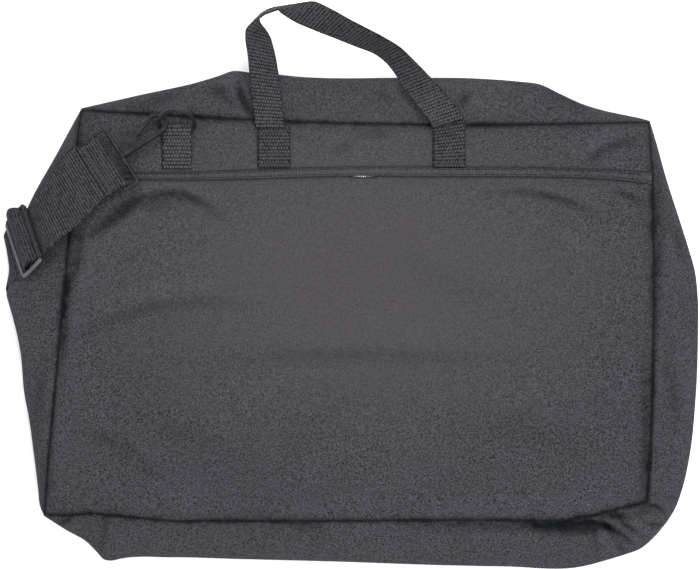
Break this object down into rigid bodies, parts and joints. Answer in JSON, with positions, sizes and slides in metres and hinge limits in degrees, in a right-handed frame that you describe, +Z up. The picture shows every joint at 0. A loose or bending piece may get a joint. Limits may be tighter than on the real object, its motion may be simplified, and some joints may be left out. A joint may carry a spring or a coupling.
{
  "type": "stand carrying bag",
  "caption": "Flat soft carrying bag for a folding stand, with folded gussets, a lapped zip, a webbing handle and a hooked shoulder strap.",
  "frame": {"origin": "middle of the footprint, on the surface that the bag lies on", "axes": "+Z up out of the front face, +Y towards the handle edge, +X to the right seen from the front"},
  "size_m": [0.6255, 0.5059, 0.065],
  "materials": {
    "cloth": "charcoal woven nylon, dull",
    "binding": "charcoal seam binding, dull",
    "webbing": "ribbed charcoal webbing",
    "zip_tape": "woven zip tape",
    "zip_teeth": "moulded nylon teeth",
    "hardware": "black painted metal, worn at the edges"
  },
  "bodies": {
    "bag": {"back_panel": "cloth", "front_panel": "cloth", "front_yoke": "cloth", "zip_flap": "cloth", "top_gusset": "cloth", "right_gusset": "cloth", "bottom_gusset": "cloth", "left_gusset": "cloth", "front_binding_top": "binding", "back_binding_top": "binding", "front_binding_right": "binding", "back_binding_right": "binding", "front_binding_bottom": "binding", "back_binding_bottom": "binding", "front_binding_left": "binding", "back_binding_left": "binding", "upper_zip_tape": "zip_tape", "lower_zip_tape": "zip_tape", "upper_zip_teeth": "zip_teeth", "lower_zip_teeth": "zip_teeth", "zip_stops": "hardware", "handle_left_end": "webbing", "handle_right_end": "webbing", "front_ring_tab": "webbing", "rear_ring_tab": "webbing", "strap_slide": "hardware", "strap_front_fold": "webbing", "strap_front_run": "webbing", "strap_sewn_end": "webbing", "strap_back_run": "webbing", "strap_back_fold": "webbing", "front_hook_loop": "hardware", "rear_hook_loop": "hardware"},
    "zip_slider": {"zip_slider": "hardware"},
    "zip_pull": {"zip_pull": "hardware"},
    "handle": {"handle_loop": "webbing"},
    "front_ring": {"front_ring": "hardware"},
    "front_hook": {"front_hook_body": "hardware", "front_gate_pin": "hardware", "front_gate_spring": "hardware"},
    "front_gate": {"front_hook_gate": "hardware"},
    "rear_ring": {"rear_ring": "hardware"},
    "rear_hook": {"rear_hook_body": "hardware", "rear_gate_pin": "hardware", "rear_gate_spring": "hardware"},
    "rear_gate": {"rear_hook_gate": "hardware"}
  },
  "joints": [
    {"name": "zip_travel", "type": "slide", "parent": "bag", "child": "zip_slider", "axis": [1, 0, 0], "range_m": [0, 0.474]},
    {"name": "pull_lift", "type": "hinge", "parent": "zip_slider", "child": "zip_pull", "pos_m": [-0.2264, 0.0972, 0.03867], "axis": [-1, 0, 0], "range_deg": [0, 15]},
    {"name": "handle_lift", "type": "hinge", "parent": "bag", "child": "handle", "pos_m": [0, 0.141, 0.03932], "axis": [1, 0, 0], "range_deg": [0, 100]},
    {"name": "front_ring_swing", "type": "hinge", "parent": "bag", "child": "front_ring", "pos_m": [-0.1535, 0.1386, 0.04213], "axis": [1, 0, 0], "range_deg": [-3, 4]},
    {"name": "front_swivel", "type": "hinge", "parent": "bag", "child": "front_hook", "pos_m": [-0.20252, 0.11468, 0.04945], "axis": [0.8443, 0.5358, 0], "range_deg": [-6, 5]},
    {"name": "front_gate_open", "type": "hinge", "parent": "front_hook", "child": "front_gate", "pos_m": [-0.19244, 0.12866, 0.04785], "axis": [0.1296, -0.2043, -0.9703], "range_deg": [0, 20], "stiffness_Nm_per_rad": 0.02, "springref_deg": -17.19},
    {"name": "rear_ring_swing", "type": "hinge", "parent": "bag", "child": "rear_ring", "pos_m": [0.1535, 0.1076, 0.013], "axis": [1, 0, 0], "range_deg": [-3, 2]},
    {"name": "rear_swivel", "type": "hinge", "parent": "bag", "child": "rear_hook", "pos_m": [0.09669, 0.09914, 0.0067], "axis": [0.9744, 0.225, 0], "range_deg": [-3, 5]},
    {"name": "rear_gate_open", "type": "hinge", "parent": "rear_hook", "child": "rear_gate", "pos_m": [0.11099, 0.1083, 0.01], "axis": [-0.1125, 0.4872, -0.866], "range_deg": [0, 20], "stiffness_Nm_per_rad": 0.02, "springref_deg": -17.19}
  ]
}
